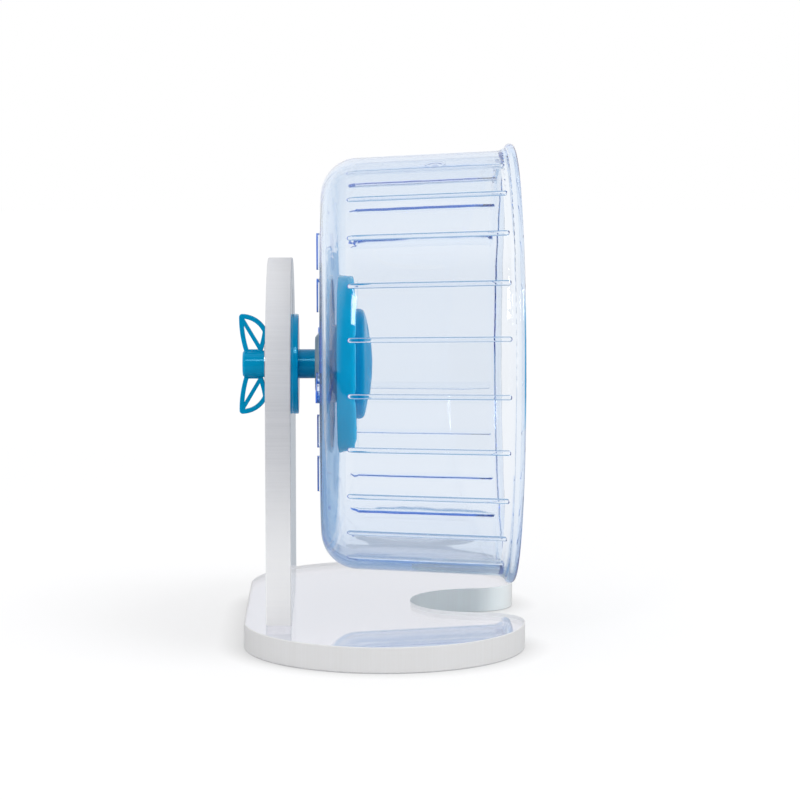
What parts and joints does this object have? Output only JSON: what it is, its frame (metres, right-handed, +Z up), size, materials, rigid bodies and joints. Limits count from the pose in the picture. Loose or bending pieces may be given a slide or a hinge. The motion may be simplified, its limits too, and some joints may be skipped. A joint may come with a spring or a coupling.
{
  "type": "hamster wheel",
  "caption": "Small-pet running wheel: clear ribbed drum on ball bearings, on a clear plate stand with a height slot and a wing nut.",
  "frame": {"origin": "centre of the base plate's underside, which stands on the floor or the cage's tray", "axes": "+X along the axle towards the drum's open side, +Y along the base plate's long side, +Z up"},
  "size_m": [0.1149, 0.2, 0.1985],
  "materials": {
    "clear_acrylic": "clear sheet, satin milled edges",
    "steel": "zinc plated",
    "bearing_steel": "ground bearing steel",
    "cage_nylon": "moulded nylon",
    "teal_plastic": "glossy moulded plastic",
    "grey_plastic": "satin moulded plastic",
    "drum_plastic": "clear light blue moulded plastic"
  },
  "bodies": {
    "stand": {"base_plate": "clear_acrylic", "upright_plate": "clear_acrylic", "stand_screws": "steel"},
    "axle_carriage": {"axle": "teal_plastic", "bearing_spacer": "steel", "end_washer": "steel", "axle_screw": "steel", "bearing_a_inner_ring": "bearing_steel", "bearing_b_inner_ring": "bearing_steel"},
    "nut_washer": {"nut_washer": "steel"},
    "wing_nut": {"wing_nut": "teal_plastic"},
    "wheel": {"wheel_drum": "drum_plastic", "bearing_housing": "grey_plastic", "hub_disc": "teal_plastic", "ring_nut": "grey_plastic", "hub_cap": "teal_plastic", "bearing_a_outer_ring": "bearing_steel", "bearing_b_outer_ring": "bearing_steel", "bearing_a_shields": "bearing_steel", "bearing_b_shields": "bearing_steel"},
    "ball_cage_a": {"bearing_a_cage": "cage_nylon", "bearing_a_balls": "bearing_steel"},
    "ball_cage_b": {"bearing_b_cage": "cage_nylon", "bearing_b_balls": "bearing_steel"}
  },
  "joints": [
    {"name": "height_slide", "type": "slide", "parent": "stand", "child": "axle_carriage", "axis": [0, 0, 1], "range_m": [-0.005, 0.027]},
    {"name": "nut_travel", "type": "slide", "parent": "axle_carriage", "child": "nut_washer", "axis": [-1, 0, 0], "range_m": [0, 0.0026]},
    {"name": "wing_nut_turn", "type": "hinge", "parent": "nut_washer", "child": "wing_nut", "pos_m": [-0.053, 0, 0.1085], "axis": [-1, 0, 0], "range_deg": [0, 720]},
    {"name": "wheel_spin", "type": "hinge", "parent": "axle_carriage", "child": "wheel", "pos_m": [0, 0, 0.1085], "axis": [1, 0, 0], "continuous": true},
    {"name": "cage_a_spin", "type": "hinge", "parent": "axle_carriage", "child": "ball_cage_a", "pos_m": [-0.0245, 0, 0.1085], "axis": [1, 0, 0], "continuous": true},
    {"name": "cage_b_spin", "type": "hinge", "parent": "axle_carriage", "child": "ball_cage_b", "pos_m": [-0.0133, 0, 0.1085], "axis": [1, 0, 0], "continuous": true}
  ],
  "couplings": [
    {"joint": "nut_travel", "follows": "wing_nut_turn", "m_per_rad": 0.00019894},
    {"joint": "cage_a_spin", "follows": "wheel_spin", "ratio": 0.6111},
    {"joint": "cage_b_spin", "follows": "wheel_spin", "ratio": 0.6111}
  ]
}
